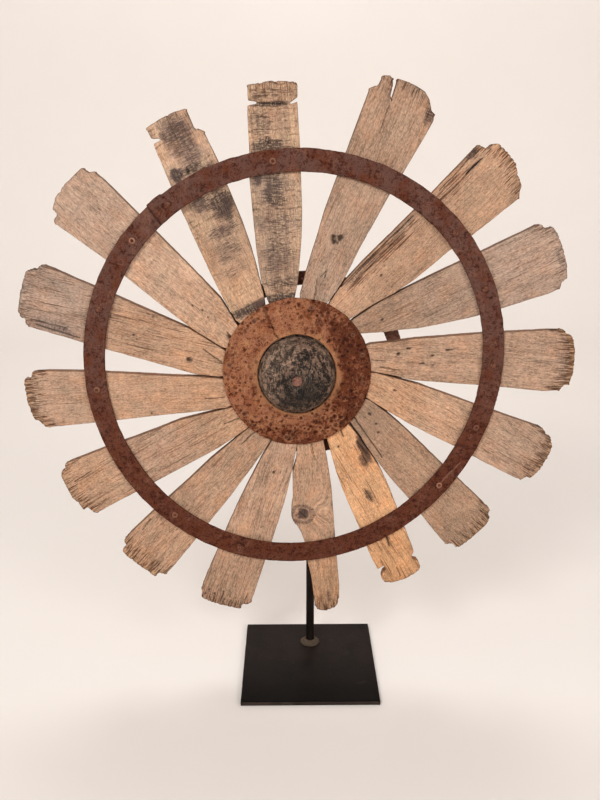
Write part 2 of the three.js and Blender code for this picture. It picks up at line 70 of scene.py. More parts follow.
MM = 0.001
HUB = (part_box("axle")[0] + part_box("axle")[1]) / 2
ORIGIN = np.array([HUB.x, 0.0, HUB.z]) / MM  # the axle's line at the row's middle plane


# ---- Camera ----

CAMERA_PLACE = (-0.0194, -0.8099, 0.5676)  # metres
CAMERA_DOWN = math.radians(17.07)
CAMERA_RIGHT = math.radians(0.63)
CAMERA_LENS = 36.6  # millimetres, as is the sensor
CAMERA_SENSOR = 36

camera_data = bpy.data.cameras.new("camera")
camera_data.sensor_width = CAMERA_SENSOR
camera_data.lens = CAMERA_LENS
camera = bpy.data.objects.new("camera", camera_data)
camera.location = CAMERA_PLACE
camera.rotation_euler = (math.pi / 2 - CAMERA_DOWN, 0, -CAMERA_RIGHT)
bpy.context.collection.objects.link(camera)
bpy.context.scene.camera = camera


# ---- Repeatable noise ----

# Large odd numbers that scramble a cell's whole-number place.
SCRAMBLE_X, SCRAMBLE_Y, SCRAMBLE_Z = 73856093, 19349663, 83492791
SCRAMBLE_SEED, SCRAMBLE_START, SCRAMBLE_AGAIN = 40503, 977, 1274126177
LOW_32_BITS = 0xFFFFFFFF
LOW_16_BITS = 0xFFFF
OCTAVE_SHIFT = 17.3  # keeps one octave's cells from lining up with the next one's


def cell_value(x, y, z, seed):
    """A repeatable number from 0 to 1 for each whole-number cell."""
    mixed = (x * SCRAMBLE_X) ^ (y * SCRAMBLE_Y) ^ (z * SCRAMBLE_Z) ^ (seed * SCRAMBLE_SEED + SCRAMBLE_START)
    mixed = (mixed ^ (mixed >> 13)) * SCRAMBLE_AGAIN & LOW_32_BITS
    return ((mixed ^ (mixed >> 16)) & LOW_16_BITS) / LOW_16_BITS


def lumps(points, size, seed, octaves=1):
    """Smooth noise from -1 to 1. size is the lumps' breadth, as one number or one for each direction.

    seed picks the pattern, and each octave adds detail at half the size.
    """
    total = np.zeros(len(points))
    weight = 1.0
    whole = 0.0
    for octave in range(octaves):
        place = points / np.asarray(size, float) * 2**octave + octave * OCTAVE_SHIFT
        cell = np.floor(place).astype(np.int64)
        part = place - cell
        part = part * part * (3 - 2 * part)
        value = 0
        for corner in range(8):
            step = (corner & 1, corner >> 1 & 1, corner >> 2)
            share = 1
            for way in range(3):
                share = share * (part[:, way] if step[way] else 1 - part[:, way])
            at_corner = (cell[:, way] + step[way] for way in range(3))
            value = value + share * cell_value(*at_corner, seed + octave)
        total += weight * (2 * value - 1)
        whole += weight
        weight *= 0.5
    return total / whole


def ramp(value, low, high):
    """0 below low, 1 above high, and smooth between. low may be the larger one."""
    part = np.clip((value - low) / (high - low), 0, 1)
    return part * part * (3 - 2 * part)


# ---- Meshes ----

def vertices(mesh):
    """The vertices in millimetres from the axle."""
    flat = np.empty(len(mesh.vertices) * 3)
    mesh.vertices.foreach_get("co", flat)
    return flat.reshape(-1, 3) / MM - ORIGIN


def normals(mesh):
    """The way each vertex faces."""
    flat = np.empty(len(mesh.vertices) * 3)
    mesh.vertices.foreach_get("normal", flat)
    return flat.reshape(-1, 3)


def set_vertices(mesh, at):
    """Moves the vertices to places given in millimetres from the axle."""
    mesh.vertices.foreach_set("co", ((at + ORIGIN) * MM).ravel())
    mesh.update()


def softened(mesh, at, rounds):
    """The vertices after each has moved halfway to its neighbours' middle, rounds times."""
    ends = np.empty(len(mesh.edges) * 2, np.int64)
    mesh.edges.foreach_get("vertices", ends)
    first, second = ends.reshape(-1, 2).T
    whole = len(at)
    neighbours = np.bincount(first, minlength=whole) + np.bincount(second, minlength=whole)
    for _ in range(rounds):
        total = np.empty_like(at)
        for way in range(3):
            total[:, way] = (
                np.bincount(first, at[second, way], whole) + np.bincount(second, at[first, way], whole)
            )
        at = (at + total / neighbours[:, None]) / 2
    return at


def even_mesh(node, voxel, rounds, cutter=None):
    """A fine even mesh of a CAD node's solid, less a cutter, softened: (mesh, vertices, normals)."""
    source = bpy.data.objects.new("remeshing", frame["nodes"][node].data.copy())
    bpy.context.collection.objects.link(source)
    if cutter:
        cut = source.modifiers.new("cut", "BOOLEAN")
        cut.object = cutter
    remesh = source.modifiers.new("even", "REMESH")
    remesh.mode = "VOXEL"
    remesh.voxel_size = voxel * MM
    remesh.use_smooth_shade = True
    evaluated = source.evaluated_get(bpy.context.evaluated_depsgraph_get())
    mesh = bpy.data.meshes.new_from_object(evaluated)
    bpy.data.objects.remove(source)
    if cutter:
        bpy.data.objects.remove(cutter)
    set_vertices(mesh, softened(mesh, vertices(mesh), rounds))
    return mesh, vertices(mesh), normals(mesh)


def store(mesh, **fields):
    """Saves a number or a vector for each vertex, which the materials read by name."""
    for name, values in fields.items():
        kind, part = ("FLOAT_VECTOR", "vector") if np.ndim(values) == 2 else ("FLOAT", "value")
        attribute = mesh.attributes.new(name, kind, "POINT")
        attribute.data.foreach_set(part, np.asarray(values, np.float32).ravel())


def piece(name, mesh, material, body, slot, node):
    """Puts a finished mesh in the scene, riding on its body in place of the CAD node it stands for."""
    # A remeshed solid may still carry the CAD's own materials.
    for face_slot in range(len(mesh.materials)):
        mesh.materials[face_slot] = material
    if not mesh.materials:
        mesh.materials.append(material)
    thing = bpy.data.objects.new(name, mesh)
    bpy.context.collection.objects.link(thing)
    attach(thing, body)
    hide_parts(node)


def frame_slot(node):
    """The record's material slot of a CAD node."""
    return next(part["material_slot"] for part in frame["record"]["subparts"] if part["node"] == node)


def middle_of(node):
    """The middle of a CAD node's box, in millimetres from the axle."""
    low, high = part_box(node)
    return np.array((low + high) / 2) / MM - ORIGIN


def round_axle(at):
    """Each place's angle and radius round the axle, as seen from the front."""
    return np.arctan2(at[:, 2], at[:, 0]), np.hypot(at[:, 0], at[:, 2])


def flatness(facing, way=1):
    """1 on faces that look along one direction, either way, and 0 on those that look across it."""
    return ramp(np.abs(facing[:, way]), 0.3, 0.8)


def frontness(facing):
    """1 on faces that look to the front, and 0 on the rest."""
    return ramp(-facing[:, 1], 0.2, 0.7)


# ---- Materials ----

BAND_RATE = 20  # how far a wave texture's bands turn over one unit, in radians


class Shader:
    """Short calls that add nodes to one new material."""

    def __init__(self, name, roughness, shine=0.15):
        self.material = bpy.data.materials.new(name)
        self.material.use_nodes = True
        self.tree = self.material.node_tree
        self.surface = self.tree.nodes["Principled BSDF"]
        self.surface.inputs["Roughness"].default_value = roughness
        self.surface.inputs["Specular IOR Level"].default_value = shine

    def add(self, kind, inputs, **settings):
        """A node, its inputs by name or number linked or set, and its first output."""
        node = self.tree.nodes.new(kind)
        for name, value in settings.items():
            setattr(node, name, value)
        for key, value in inputs.items():
            if isinstance(value, bpy.types.NodeSocket):
                self.tree.links.new(value, node.inputs[key])
            else:
                node.inputs[key].default_value = value
        return node.outputs[0]

    def field(self, name, output="Fac"):
        """A field that store() saved; output is "Vector" for a vector."""
        node = self.tree.nodes.new("ShaderNodeAttribute")
        node.attribute_name = name
        return node.outputs[output]

    def noise(self, vector, scale, detail=3.0, roughness=0.6, distortion=0.0):
        """Noise about 0.5. scale is its lumps to each unit of the vector: one number or one for each way."""
        stretch = scale if isinstance(scale, tuple) else (scale, scale, scale)
        place = self.add("ShaderNodeMapping", {"Vector": vector, "Scale": stretch})
        inputs = {"Vector": place, "Scale": 1.0, "Detail": detail, "Roughness": roughness}
        return self.add("ShaderNodeTexNoise", {**inputs, "Distortion": distortion})

    def waves(self, vector, pitch, distortion):
        """Bands from 0 to 1 across the vector's second direction, one every pitch millimetres."""
        scale = 2 * math.pi / (BAND_RATE * pitch)
        place = self.add("ShaderNodeMapping", {"Vector": vector, "Scale": (scale, scale, scale)})
        inputs = {"Vector": place, "Scale": 1.0, "Distortion": distortion, "Detail": 3.0, "Detail Scale": 1.6}
        bands = self.add("ShaderNodeTexWave", inputs, bands_direction="Y")
        return bands.node.outputs["Fac"]

    def remap(self, value, low, high, to_low=0.0, to_high=1.0):
        """to_low where value is low, to_high where it is high, and held at those outside."""
        return self.add("ShaderNodeMapRange", {0: value, 1: low, 2: high, 3: to_low, 4: to_high})

    def times(self, a, b):
        """a multiplied by b."""
        return self.add("ShaderNodeMath", {0: a, 1: b}, operation="MULTIPLY")

    def total(self, start, *terms):
        """start plus each (value, weight)."""
        for value, weight in terms:
            start = self.add("ShaderNodeMath", {0: value, 1: weight, 2: start}, operation="MULTIPLY_ADD")
        return start

    def varied(self, *terms):
        """A brightness about 1 that swings by each (noise, weight)."""
        return self.total(1 - sum(weight for _, weight in terms) / 2, *terms)

    def lit(self, colour, brightness):
        """A colour made brighter or darker, brightness times."""
        return self.add("ShaderNodeVectorMath", {0: colour, "Scale": brightness}, operation="SCALE")

    def blend(self, factor, a, b, way="MIX"):
        """Colour a, going to colour b as factor goes to 1."""
        node = self.tree.nodes.new("ShaderNodeMix")
        node.data_type = "RGBA"
        node.blend_type = way
        for socket, value in ((node.inputs[0], factor), (node.inputs[6], a), (node.inputs[7], b)):
            if isinstance(value, bpy.types.NodeSocket):
                self.tree.links.new(value, socket)
            else:
                socket.default_value = (*value, 1.0) if isinstance(value, tuple) else value
        return node.outputs[2]

    def tinted(self, factor, colour, tint):
        """A colour multiplied by a tint as factor goes to 1, keeping its own texture."""
        return self.blend(factor, colour, tint, "MULTIPLY")

    def colour(self, socket):
        self.tree.links.new(socket, self.surface.inputs["Base Color"])

    def rough(self, socket):
        self.tree.links.new(socket, self.surface.inputs["Roughness"])

    def bump(self, height, depth, strength=1.0):
        """Fine relief; depth is in millimetres for a height of 1."""
        node = self.add("ShaderNodeBump", {"Height": height, "Distance": depth * MM, "Strength": strength})
        self.tree.links.new(node, self.surface.inputs["Normal"])


def wood_material(name, base):
    """Dry weathered board. grain is the vertex's place across, along and through the board, in millimetres."""
    s = Shader(name, roughness=0.92)
    grain = s.field("grain", "Vector")
    cloud = s.noise(grain, (0.05, 0.024, 0.05), detail=4)
    tint = s.noise(grain, (0.07, 0.04, 0.07), detail=3)
    pale = s.noise(grain, (0.13, 0.05, 0.13), detail=3)
    streak = s.noise(grain, (0.45, 0.018, 0.45), detail=3, distortion=0.5)
    vein = s.noise(grain, (0.75, 0.022, 0.75), detail=3, distortion=0.3)
    fleck = s.noise(grain, (0.6, 0.10, 0.6), detail=3, roughness=0.75)
    fibre = s.noise(grain, (1.2, 0.34, 1.2), detail=2, roughness=0.7)
    smear = s.noise(grain, (0.07, 0.3, 0.07), detail=5, roughness=0.7)
    check = s.noise(grain, (1.0, 0.06, 0.3), detail=2)
    dash = s.noise(grain, (0.2, 0.95, 0.2), detail=3, roughness=0.7, distortion=0.5)
    cuts = s.waves(grain, pitch=5.6, distortion=4.5)
    patches = s.noise(grain, (0.11, 0.2, 0.11), detail=3)

    cool, warm = (0.86, 1.0, 1.20), (1.14, 1.0, 0.80)
    colour = s.blend(s.remap(s.field("hue"), -1.5, 1.5), cool, warm)
    colour = s.tinted(1.0, colour, base)
    colour = s.tinted(s.remap(tint, 0.52, 0.66, 0.0, 0.5), colour, (1.10, 0.96, 0.84))
    colour = s.tinted(s.remap(tint, 0.48, 0.34, 0.0, 0.6), colour, (0.90, 0.98, 1.0))
    tone = s.varied((cloud, 0.7), (streak, 0.5), (fleck, 1.5), (fibre, 1.9), (smear, 0.6), (pale, 0.5))
    colour = s.lit(s.lit(colour, tone), s.field("shade"))
    veins = s.remap(s.total(0.0, (vein, 1.0), (fleck, 0.25), (s.field("lined"), 0.05)), 0.72, 0.79)
    veins = s.times(veins, s.remap(s.field("lined"), 0.0, 0.8))
    colour = s.tinted(veins, colour, (0.32, 0.25, 0.23))

    broken = s.remap(s.total(0.0, (patches, 1.0), (fibre, 0.45)), 0.70, 0.80)
    lines = s.times(s.times(s.remap(cuts, 0.26, 0.10), broken), s.field("saw"))
    colour = s.tinted(lines, colour, (0.36, 0.32, 0.33))
    # A stain is a thin grey wash, with flecks across the grain that crowd together as it gets stronger.
    colour = s.tinted(s.field("stain"), colour, (0.56, 0.58, 0.68))
    mottle = s.total(0.0, (dash, 0.45), (fleck, 0.3), (fibre, 0.25))
    flecks = s.remap(s.total(0.0, (s.field("stain"), 0.25), (mottle, 1.0)), 0.58, 0.66, 0.0, 0.88)
    colour = s.tinted(flecks, colour, (0.25, 0.245, 0.28))
    raised = s.remap(s.total(0.0, (dash, -0.5), (fibre, 0.5), (streak, 0.3)), 0.17, 0.24)
    colour = s.blend(s.times(s.times(raised, s.field("saw")), 0.6), colour, (0.62, 0.45, 0.28))

    tip = s.field("tip")
    # Opened end grain near the tip: its checks are painted dark, as painted shade, and sunk in the bump.
    checked = s.times(s.remap(s.total(0.0, (check, 1.0), (tip, 0.15)), 0.60, 0.66), s.remap(tip, 0.0, 0.35))
    colour = s.blend(s.field("fresh"), colour, (0.60, 0.36, 0.19))
    colour = s.tinted(checked, colour, (0.34, 0.27, 0.24))
    # The board's sides are painted darker: weathered edge wood and painted shade.
    colour = s.tinted(s.field("side"), colour, (0.42, 0.33, 0.28))
    # Painted shade: near black in the board's cracks, holes, tip splits and knot crack.
    colour = s.blend(s.field("dark"), colour, (0.020, 0.013, 0.010))
    s.colour(colour)
    relief = s.varied((fleck, 0.9), (fibre, 0.9), (smear, 0.5), (streak, 0.5))
    s.bump(s.total(relief, (checked, -0.8), (lines, -0.5)), depth=1.0, strength=0.75)
    return s.material


def rust_material(name, base, deep, bright, depth, contrast=1.0):
    """Rusted iron. Its four vertex fields, as rust_fields names them, are the pitting; paler iron, with painted
    highlight on raised lips and rings; crust; and deeper, darker rust, partly painted shade.

    depth is its relief in millimetres. contrast is how strongly its specks and pocks show.
    """
    s = Shader(name, roughness=0.9)
    place = s.field("place", "Vector")
    patch = s.noise(place, 0.055, detail=5)
    ochre = s.noise(place, 0.09, detail=4)
    blotch = s.noise(place, 0.2, detail=5, roughness=0.7)
    pock = s.noise(place, 0.34, detail=3, roughness=0.55)
    grit = s.noise(place, 0.8, detail=3, roughness=0.7)
    colour = s.blend(s.remap(patch, 0.46, 0.66), base, deep)
    # Deeper, darker rust where the vertex asks for it; low on the wheel and at the hub plate's right and lower
    # side this is partly painted shade.
    colour = s.blend(s.field("deep_rust_and_shade"), colour, deep)
    specks = s.total(0.0, (ochre, 0.4), (blotch, 0.35), (grit, 0.25))
    colour = s.blend(s.remap(specks, 0.50, 0.60, 0.0, 0.7 * contrast), colour, bright)
    colour = s.lit(colour, s.varied((blotch, 1.2 * contrast), (grit, 1.8 * contrast)))
    crust = s.total(-3.4, (s.field("scale"), 1.0), (blotch, 4.5), (grit, 2.3))
    colour = s.tinted(s.remap(crust, 0.22, 0.50, 0.0, 0.95), colour, (0.38, 0.24, 0.18))
    colour = s.tinted(s.remap(crust, 0.62, 0.95, 0.0, 0.85), colour, (0.48, 0.40, 0.38))
    colour = s.tinted(s.remap(pock, 0.60, 0.64, 0.0, 0.8 * contrast), colour, (0.30, 0.20, 0.17))
    # Paler iron: scratches and paler rust, and painted highlight on raised pit lips, round the nose and on rivet
    # rings.
    colour = s.blend(s.times(s.field("pale_and_highlight"), s.remap(grit, 0.35, 0.5, 0.4, 1.0)), colour, bright)
    colour = s.tinted(s.field("pit"), colour, (0.20, 0.12, 0.10))
    s.colour(colour)
    s.rough(s.remap(patch, 0.3, 0.7, 0.8, 0.95))
    s.bump(s.varied((grit, 0.8), (blotch, 1.2), (pock, -0.8)), depth=depth, strength=0.8)
    return s.material


def nave_material():
    """Dark greasy turned wood: hollows painted black as painted shade, dusty flecks with painted highlight,
    turning rings and pale scratches.
    """
    s = Shader("nave_wood", roughness=0.75, shine=0.2)
    place = s.field("place", "Vector")
    turned = s.field("turned", "Vector")
    rings = s.noise(turned, (0.9, 0.03, 0.9), detail=4)
    cloud = s.noise(place, 0.09, detail=4, roughness=0.6)
    blotch = s.noise(place, (0.24, 0.24, 0.18), detail=5, roughness=0.68, distortion=0.3)
    grit = s.noise(place, (0.9, 0.9, 0.6), detail=3, roughness=0.7)
    scratch = s.noise(place, (1.5, 1.5, 0.16), detail=3, distortion=0.35)
    mixed = s.remap(s.total(0.0, (blotch, 0.45), (cloud, 0.35), (grit, 0.2)), 0.475, 0.54)
    colour = s.blend(mixed, (0.012, 0.007, 0.005), (0.172, 0.105, 0.072))
    # Dust over the outer edge, and painted highlight on the left.
    dust = s.times(s.field("dust"), s.remap(mixed, 0.0, 1.0, 0.35, 1.0))
    colour = s.blend(dust, colour, (0.27, 0.18, 0.128))
    colour = s.lit(colour, s.varied((grit, 2.6), (rings, 1.6), (blotch, 2.4)))
    # Pale scratches, most by the axle tip and on the left; on the left they are partly painted highlight.
    spark = s.field("spark")
    scratches = s.remap(s.total(0.0, (scratch, 0.75), (grit, 0.25), (spark, 0.05)), 0.585, 0.63)
    colour = s.blend(s.times(scratches, spark), colour, (0.36, 0.285, 0.22))
    # Painted shade: near black in the checks and dents, at the lower right and round the axle tip.
    colour = s.blend(s.field("dark"), colour, (0.008, 0.006, 0.005))
    s.colour(colour)
    s.rough(s.remap(blotch, 0.3, 0.7, 0.55, 0.9))
    s.bump(s.varied((rings, 0.6), (grit, 1.4), (blotch, 0.8)), depth=1.0, strength=0.85)
    return s.material


def black_paint(name, base, worn, roughness, speckle=0.5):
    """Dull black paint on steel, mottled, with dusty specks.

    bare is the vertex's wear. lit is a brightness painted over it, which on the base plate is painted shade and
    reflection. speckle is how thick the specks are, from 0 to 1.
    """
    s = Shader(name, roughness=roughness, shine=0.05)
    place = s.field("place", "Vector")
    cloud = s.noise(place, 0.035, detail=4)
    speck = s.noise(place, 0.55, detail=3, roughness=0.7)
    colour = s.blend(s.remap(cloud, 0.35, 0.7), base, worn)
    colour = s.blend(s.remap(speck, 0.72 - 0.2 * speckle, 0.76, 0.0, speckle), colour, (0.13, 0.10, 0.07))
    # lit: painted brightness; on the base plate, painted shade at the front and painted reflection to the rear.
    colour = s.lit(colour, s.field("lit"))
    colour = s.blend(s.field("bare"), colour, (0.046, 0.033, 0.026))
    s.colour(colour)
    s.rough(s.remap(cloud, 0.3, 0.7, roughness - 0.08, roughness + 0.1))
    s.bump(speck, depth=0.25, strength=0.5)
    return s.material


TAN_WOOD = wood_material("weathered_wood", (0.418, 0.258, 0.170))
ORANGE_WOOD = wood_material("orange_wood", (0.45, 0.268, 0.160))
STAINED_WOOD = wood_material("stained_wood", (0.415, 0.262, 0.172))
NAVE_WOOD = nave_material()
HOOP_IRON = rust_material(
    "hoop_iron", base=(0.113, 0.051, 0.038), deep=(0.110, 0.030, 0.013), bright=(0.22, 0.105, 0.072),
    depth=0.5, contrast=0.75,
)
PLATE_IRON = rust_material(
    "plate_iron", base=(0.325, 0.135, 0.072), deep=(0.27, 0.094, 0.044), bright=(0.46, 0.225, 0.105),
    depth=0.8, contrast=1.1,
)
FASTENER_IRON = rust_material(
    "fastener_iron", base=(0.14, 0.055, 0.035), deep=(0.10, 0.032, 0.016), bright=(0.34, 0.16, 0.10),
    depth=0.4,
)
AXLE_IRON = rust_material(
    "axle_iron", base=(0.26, 0.13, 0.095), deep=(0.13, 0.058, 0.042), bright=(0.50, 0.33, 0.27),
    depth=0.5, contrast=1.3,
)
BLACK_STEEL = black_paint(
    "black_steel", base=(0.0080, 0.0053, 0.0045), worn=(0.0165, 0.0108, 0.0088), roughness=0.45,
)
WELD_STEEL = black_paint(
    "weld_steel", base=(0.035, 0.024, 0.018), worn=(0.10, 0.072, 0.050), roughness=0.6, speckle=0.9,
)


# ---- Paddles ----

PADDLE_VOXEL = 0.9
BOARD_SHIFT = 311.0  # moves each board to its own part of the noise that wears it
GRAIN_SHIFT = 97.0  # and of the noise that draws its grain
STRIP = 3  # the width of the strips whose ends, taken one by one, give a board's ragged tip
NOWHERE = -1e9
SPLIT_LENGTH = 13  # how far in from the tip its splits run
HOLE_EDGE = 0.4  # how far a hole's softened edge reaches past the hole

# What each paddle shows, in its own place: across from its middle line and out from the axle, in millimetres.
# lean: how far its grain runs askew, in degrees.
# shade and hue: its brightness, and how warm (or, below 0, how grey) it is, each at the root, middle and tip.
# saw, lined, checks and fresh: how much it shows saw cuts, dark veins, opened end grain and paler end wood.
# stains and veins: (across, out, half width, half length, strength). knot: the same, without strength.
# cracks: (across, out, across, out, half width). holes: (across, out, half width, half length).
# slit: a wedge cut right through, given as a crack is. It has that half width at its first end and closes to
# nothing at its second.
# PLAIN_BOARD is what a paddle has where its own row says nothing.
PLAIN_BOARD = dict(fresh=0.0, stains=[], veins=[], cracks=[], holes=[], knot=None, slit=None)
PADDLES = [
    dict(
        angle=94.4, lean=1, saw=0.9, lined=0.3, checks=0.3,
        shade=(1.0, 0.99, 1.1), hue=(-0.2, -0.4, 0.1),
        stains=[
            (-9, 221, 18, 8, 0.95), (-8, 206, 22, 10, 0.8), (-8, 178, 15, 22, 0.68), (-22, 192, 6, 9, 0.75),
            (-6, 148, 24, 18, 0.42), (-10, 118, 22, 20, 0.5), (-10, 92, 22, 10, 0.55), (-9, 76, 24, 7, 1.15),
            (-15, 240, 12, 16, 0.45), (2, 250, 14, 26, 0.3), (-3, 257, 20, 3, 0.85), (-2, 266, 22, 7, 0.42),
        ],
        cracks=[(-16, 259, 10, 256, 0.8)],
        holes=[(-9.5, 223.6, 0.9, 0.9)],
    ),
    dict(
        angle=115.2, lean=-1, saw=0.8, lined=0.3, checks=0.3,
        shade=(1.12, 0.97, 1.16), hue=(0.3, 0.0, -0.3),
        stains=[
            (-19, 222, 8, 7, 1.1), (-5, 222, 9, 6, 0.75), (6, 181, 13, 18, 0.95), (-9, 189, 14, 10, 0.6),
            (-13, 78.5, 22, 5.5, 1.15), (-1, 238, 16, 20, 0.55), (-2, 258, 18, 16, 0.66),
            (2, 215, 16, 9, 0.5), (-4, 158, 22, 7, 0.55), (-8, 138, 20, 14, 0.42), (-10, 119, 18, 9, 0.34),
        ],
        cracks=[(-9.5, 219, -8, 225, 0.7)],
        holes=[(-8.4, 221, 1.0, 1.6)],
    ),
    dict(
        angle=140, lean=2, saw=0.12, lined=0.1, checks=0.1,
        shade=(1.13, 1.18, 1.08), hue=(0.1, -0.3, -0.8),
        stains=[(-8, 264, 9, 2, 0.3), (-20, 226, 3, 12, 0.18), (12, 236, 12, 9, 0.14)],
        cracks=[(-14, 74, -13, 80, 0.8)],
        holes=[(-11, 113, 0.9, 1.2), (-13.5, 123, 0.8, 1.1), (-15, 75.5, 2.2, 3.0), (-13, 104, 0.6, 0.8)],
    ),
    dict(
        angle=163.6, lean=-3, saw=0.05, lined=0.7, checks=0.3,
        shade=(1.05, 0.97, 1.0), hue=(0.4, 0.1, -1.1),
        stains=[(-24, 243, 5, 28, 0.36), (-17, 252, 2, 18, 0.3), (-8, 167, 2, 3, 0.4)],
        cracks=[(-26, 218, -25, 262, 0.8), (-20, 232, -21, 268, 0.6), (-11, 76, -3, 97, 0.7)],
        holes=[(-17.5, 107.5, 2.6, 3.2), (-8, 167, 0.7, 1.0)],
    ),
    dict(
        angle=186, lean=2, saw=0.05, lined=0.3, checks=0.95, fresh=0.4,
        shade=(1.05, 1.08, 1.05), hue=(0.4, 0.1, -0.3),
        stains=[(-26, 120, 2, 3, 0.35)],
        cracks=[(-18, 76, -17, 96, 0.6)],
        holes=[(-27, 153, 0.9, 1.1)],
    ),
    dict(
        angle=209, lean=-2, saw=0.1, lined=0.55, checks=0.5, fresh=0.15,
        shade=(1.0, 1.03, 1.07), hue=(0.4, -0.3, 0.2),
        stains=[(-2, 168, 8, 18, 0.18), (-26, 236, 6, 26, 0.15)],
        cracks=[(10, 262, 12, 240, 0.6), (-14, 76, -11, 92, 0.6)],
    ),
    dict(
        angle=231.2, lean=3, saw=0.08, lined=0.4, checks=0.9, fresh=0.4,
        shade=(0.9, 1.0, 1.0), hue=(0.1, 0.1, 0.2),
        stains=[(8, 178, 10, 5, 0.2)],
        cracks=[(20, 240, 20, 224, 0.6), (-6, 76, -3, 96, 0.6)],
    ),
    dict(
        angle=251.2, lean=-2, saw=0.05, lined=0.5, checks=0.6, fresh=0.1,
        shade=(1.08, 1.08, 0.92), hue=(-0.2, -0.1, 0.0),
        stains=[(-16, 90, 12, 8, 0.15), (8, 268, 9, 8, 0.15)],
        cracks=[(-4, 276, -3.5, 262, 0.9)],
        holes=[(-12, 111, 1.6, 2.2), (5, 268, 0.6, 1.0), (12, 265, 0.6, 0.9), (14, 271, 0.6, 1.0)],
    ),
    dict(
        angle=276.5, lean=1, saw=0.03, lined=0.35, checks=0.5,
        shade=(1.0, 1.01, 0.91), hue=(0.2, 0.1, 0.8),
        stains=[(-6, 258, 3, 9, 0.45), (3, 262, 2, 8, 0.35), (-22, 150, 3, 9, 0.5), (-22, 184, 4, 7, 0.6)],
        cracks=[(-6, 76, -8, 96, 0.5)],
        knot=(12, 156.5, 10, 9),
    ),
    dict(
        angle=296.4, lean=-3, saw=0.0, lined=0.6, checks=0.15,
        shade=(1.18, 1.27, 1.12), hue=(0.8, 0.8, 1.1),
        stains=[
            (-26, 104, 5, 16, 1.1), (-20, 116, 5, 8, 0.7), (-8, 155, 3.5, 9, 0.62), (-26, 92, 4, 6, 0.6),
            (-21, 232, 4, 9, 0.3),
        ],
        cracks=[
            (-26, 112, -22.5, 94, 0.7), (-22, 121, -21, 108, 0.5), (-4.2, 205, -2.8, 219, 1.5),
            (-13, 72, -12.5, 83, 1.2), (1, 246, 1, 258, 0.5), (-7, 146, -8, 164, 0.5),
        ],
        holes=[(-3.3, 91, 1.5, 1.5)],
    ),
    dict(
        angle=317.2, lean=1, saw=0.1, lined=0.15, checks=0.8, fresh=0.35,
        shade=(0.76, 0.87, 0.86), hue=(0.0, 0.1, 0.0),
        stains=[(6, 260, 22, 5, 0.16), (24, 244, 8, 3, 0.15), (-5, 92, 24, 18, 0.08)],
        cracks=[(-5, 74, 7, 128, 0.8), (2.4, 75, 7, 97, 0.8)],
        holes=[(-18.5, 85, 1.7, 2.2), (-15, 97.6, 0.9, 1.2), (-10, 105.5, 0.9, 1.2)],
    ),
    dict(
        angle=339, lean=10, saw=0.05, lined=0.45, checks=0.9, fresh=0.45,
        shade=(1.1, 1.12, 0.97), hue=(0.6, 0.1, -0.5),
        stains=[(4, 274, 20, 5, 0.2)],
        holes=[(-18, 100, 1.0, 1.8)],
    ),
    dict(
        angle=2.3, lean=6, saw=0.05, lined=0.4, checks=1.2, fresh=0.75,
        shade=(1.0, 1.0, 1.0), hue=(0.0, -0.2, -0.4),
        stains=[(-4, 267, 24, 7, 0.12), (-18, 157, 2, 9, 0.3)],
        cracks=[(-2, 84, 2, 104, 0.6), (-10, 76, -8, 90, 0.5)],
        holes=[
            (-15, 103, 1.2, 1.7), (-20, 113, 0.9, 3.2), (-12, 137, 1.3, 2.0), (-4, 127, 0.7, 3.0),
            (-17, 153, 0.7, 4.5),
        ],
    ),
    dict(
        angle=24.8, lean=-2, saw=0.1, lined=0.4, checks=0.3,
        shade=(0.75, 0.86, 1.02), hue=(-0.2, -0.6, -1.0),
        stains=[(8, 281, 14, 3, 0.2)],
        cracks=[(-4, 76, -2, 84, 0.6)],
        holes=[(-13.5, 100, 1.1, 1.5)],
    ),
    dict(
        angle=44.4, lean=-1, saw=0.03, lined=0.35, checks=0.6, fresh=0.2,
        shade=(1.02, 0.94, 1.0), hue=(0.2, 0.1, 0.2),
        stains=[
            (-30, 120, 5, 30, 0.35), (-33, 170, 3, 30, 0.3), (-36, 267, 4, 9, 0.7), (-26.7, 262, 1.6, 9, 0.8),
        ],
        veins=[(-27, 135, 9, 50, 2.0), (-27, 230, 7, 34, 1.8)],
        cracks=[
            (-32, 92, -33, 188, 0.7), (-26, 104, -28, 172, 0.6), (-27, 250, -26.5, 270, 0.9),
            (-33, 222, -35, 262, 0.6),
        ],
        holes=[(-12.5, 128, 1.4, 1.8)],
    ),
    dict(
        angle=68.3, lean=2, saw=0.15, lined=0.35, checks=0.4,
        shade=(0.93, 0.89, 0.91), hue=(-0.6, -0.4, -0.2),
        stains=[(23, 275, 5, 9, 0.6), (-20, 282, 6, 9, 0.3)],
        cracks=[
            (-12, 76, -16, 94, 0.5), (-14, 99, -11, 106, 0.5), (-10, 99, -11, 107, 0.5),
            (-14.8, 268, -13.5, 248, 0.3),
        ],
        holes=[(-14.5, 135.5, 5.0, 3.2), (-11, 139.5, 3.0, 4.0), (-17, 139, 2.2, 2.2)],
        slit=(-18.75, 293, -12.6, 257, 1.9),
    ),
]

# Places out from the axle where a board's root, middle and tip tones each begin and end.
TONE_PLACES = [88, 105, 150, 182, 230, 262]


def away(across, out, x0, out0, x1, out1):
    """The distance of each place on the board from a line between two others."""
    run = np.array([x1 - x0, out1 - out0], float)
    along = ((across - x0) * run[0] + (out - out0) * run[1]) / (run @ run)
    along = np.clip(along, 0, 1)
    return np.hypot(across - x0 - along * run[0], out - out0 - along * run[1])


def spread(across, out, x0, out0, half_width, half_length):
    """How far out of an oval each place is: 0 in its middle and 1 on its edge."""
    return np.hypot((across - x0) / half_width, (out - out0) / half_length)


def strongest(least, ovals, across, out, rough_edge, faded, full):
    """least, or more inside ovals: each has its whole strength at spread full and none at spread faded."""
    field = np.full(len(out), least)
    for *oval, strength in ovals:
        field = np.maximum(field, strength * ramp(spread(across, out, *oval) + rough_edge, faded, full))
    return field


